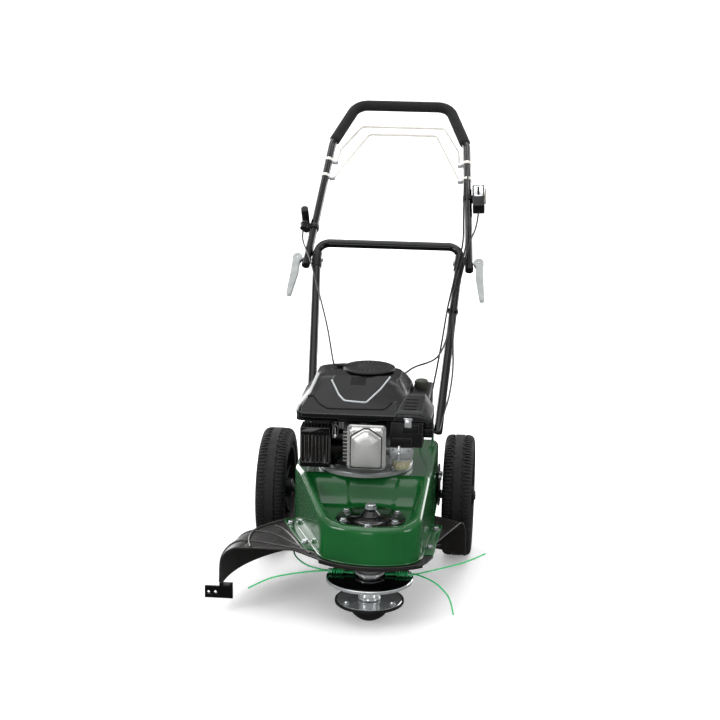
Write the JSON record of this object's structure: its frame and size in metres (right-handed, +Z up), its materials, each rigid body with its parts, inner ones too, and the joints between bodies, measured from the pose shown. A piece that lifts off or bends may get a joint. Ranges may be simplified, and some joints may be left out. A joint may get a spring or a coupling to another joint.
{
  "type": "wheeled string trimmer",
  "caption": "Walk-behind string trimmer on large spoked wheels, with a vertical-shaft engine, belt-driven line head on a ball foot, rear guard and folding handle with wire bails.",
  "frame": {"origin": "on the ground at the middle of the ball foot's flat, under the line head's axis", "axes": "+X to the right seen from the front, +Y to the rear towards the handle, +Z up"},
  "size_m": [0.6471, 1.4363, 1.0645],
  "materials": {
    "deck_green": "gloss paint",
    "black_paint": "gloss paint",
    "zinc": "zinc plated",
    "steel": "bare",
    "bright_wire": "plated wire",
    "cast_alloy": "as cast",
    "grey_shroud": "moulded",
    "black_plastic": "moulded",
    "guard_plastic": "moulded",
    "olive_plastic": "moulded",
    "pale_plastic": "moulded",
    "line_green": "clear nylon",
    "brass_bowl": "plated",
    "ceramic_white": "glazed",
    "exhaust_steel": "heat-stained",
    "foam": "foam",
    "rubber": "moulded",
    "tyre": "moulded",
    "cast_iron": "machined"
  },
  "bodies": {
    "chassis": {"deck": "deck_green", "deck_bolts": "zinc", "guard": "guard_plastic", "end_bracket": "black_paint", "axle": "steel", "axle_brackets": "black_paint", "spindle_housing": "cast_iron", "spindle_cover": "black_paint", "engine_block": "cast_alloy", "valve_cover": "cast_alloy", "cover_screws": "zinc", "blower_shroud": "grey_shroud", "recoil_cover": "black_plastic", "fuel_tank": "black_plastic", "air_box": "black_plastic", "air_cleaner_cover": "black_plastic", "carburettor": "cast_alloy", "carb_bowl": "brass_bowl", "muffler": "exhaust_steel", "muffler_guard": "black_paint", "spark_plug": "ceramic_white", "plug_lead": "rubber", "drive_belt": "rubber", "lower_handle": "black_paint", "clamp_bolts": "zinc", "starter_rope": "rubber", "throttle_cable": "rubber", "brake_cable": "rubber", "drive_cable": "rubber", "cable_ties": "black_plastic"},
    "left_wheel": {"left_rim": "black_plastic", "left_tyre": "tyre"},
    "right_wheel": {"right_rim": "black_plastic", "right_tyre": "tyre"},
    "crank": {"crankshaft": "steel", "flywheel": "cast_alloy", "engine_pulley": "cast_iron"},
    "head": {"spindle": "steel", "spindle_pulley": "cast_iron", "line_hub": "zinc", "line_disc": "black_paint", "line_eyelets": "zinc", "trimmer_lines": "line_green"},
    "foot": {"foot_disc": "zinc", "foot_cup": "rubber", "foot_bolts": "zinc"},
    "idler": {"idler_arm": "steel"},
    "idler_wheel": {"idler_pulley": "black_plastic"},
    "filler_cap": {"fuel_cap": "olive_plastic"},
    "left_clamp": {"left_lever": "pale_plastic"},
    "right_clamp": {"right_lever": "pale_plastic"},
    "upper": {"upper_handle": "black_paint", "grip": "foam", "throttle_box": "black_plastic", "rope_guide": "black_plastic"},
    "brake": {"brake_bail": "bright_wire"},
    "drive": {"drive_bail": "bright_wire"},
    "throttle": {"throttle_lever": "zinc"},
    "starter": {"starter_grip": "black_plastic"}
  },
  "joints": [
    {"name": "left_wheel_spin", "type": "hinge", "parent": "chassis", "child": "left_wheel", "pos_m": [-0.282, 0.475, 0.153], "axis": [1, 0, 0], "continuous": true},
    {"name": "right_wheel_spin", "type": "hinge", "parent": "chassis", "child": "right_wheel", "pos_m": [0.182, 0.475, 0.153], "axis": [1, 0, 0], "continuous": true},
    {"name": "crank_spin", "type": "hinge", "parent": "chassis", "child": "crank", "pos_m": [-0.032, 0.215, 0.19], "axis": [0, 0, 1], "continuous": true},
    {"name": "head_spin", "type": "hinge", "parent": "chassis", "child": "head", "pos_m": [0, 0, 0.1], "axis": [0, 0, 1], "continuous": true},
    {"name": "foot_spin", "type": "hinge", "parent": "head", "child": "foot", "pos_m": [0, 0, 0.045], "axis": [0, 0, 1], "continuous": true},
    {"name": "idler_swing", "type": "hinge", "parent": "chassis", "child": "idler", "pos_m": [0.0958, 0.1677, 0.2], "axis": [0, 0, -1], "range_deg": [0, 10]},
    {"name": "idler_spin", "type": "hinge", "parent": "idler", "child": "idler_wheel", "pos_m": [0.058, 0.1118, 0.19], "axis": [0, 0, 1], "continuous": true},
    {"name": "filler_cap_turn", "type": "hinge", "parent": "chassis", "child": "filler_cap", "pos_m": [0.0927, 0.2855, 0.49], "axis": [0, 0, 1], "range_deg": [0, 120]},
    {"name": "left_lever_swing", "type": "hinge", "parent": "chassis", "child": "left_clamp", "pos_m": [-0.2714, 0.773, 0.692], "axis": [0, 0.7314, -0.682], "range_deg": [0, 120]},
    {"name": "right_lever_swing", "type": "hinge", "parent": "chassis", "child": "right_clamp", "pos_m": [0.2074, 0.773, 0.692], "axis": [0, -0.7314, 0.682], "range_deg": [0, 120]},
    {"name": "handle_fold", "type": "hinge", "parent": "chassis", "child": "upper", "pos_m": [-0.032, 0.773, 0.692], "axis": [1, 0, 0], "range_deg": [0, 130], "deforming": ["starter_rope", "throttle_cable", "brake_cable", "drive_cable"]},
    {"name": "brake_squeeze", "type": "hinge", "parent": "upper", "child": "brake", "pos_m": [-0.032, 1.05973, 0.90974], "axis": [1, 0, 0], "range_deg": [0, 12], "stiffness_Nm_per_rad": 6},
    {"name": "drive_squeeze", "type": "hinge", "parent": "upper", "child": "drive", "pos_m": [-0.032, 1.01245, 0.8728], "axis": [1, 0, 0], "range_deg": [0, 14], "stiffness_Nm_per_rad": 6},
    {"name": "throttle_swing", "type": "hinge", "parent": "upper", "child": "throttle", "pos_m": [0.16745, 0.95345, 0.83299], "axis": [0.998, 0.05, 0.039], "range_deg": [-30, 30]},
    {"name": "starter_pull", "type": "slide", "parent": "upper", "child": "starter", "axis": [0.0634, 0.7864, 0.6144], "range_m": [0, 0.6], "stiffness_N_per_m": 20, "deforming": ["starter_rope"]}
  ],
  "couplings": [
    {"joint": "head_spin", "follows": "crank_spin", "ratio": 0.654},
    {"joint": "idler_swing", "follows": "drive_squeeze", "ratio": 0.714}
  ]
}
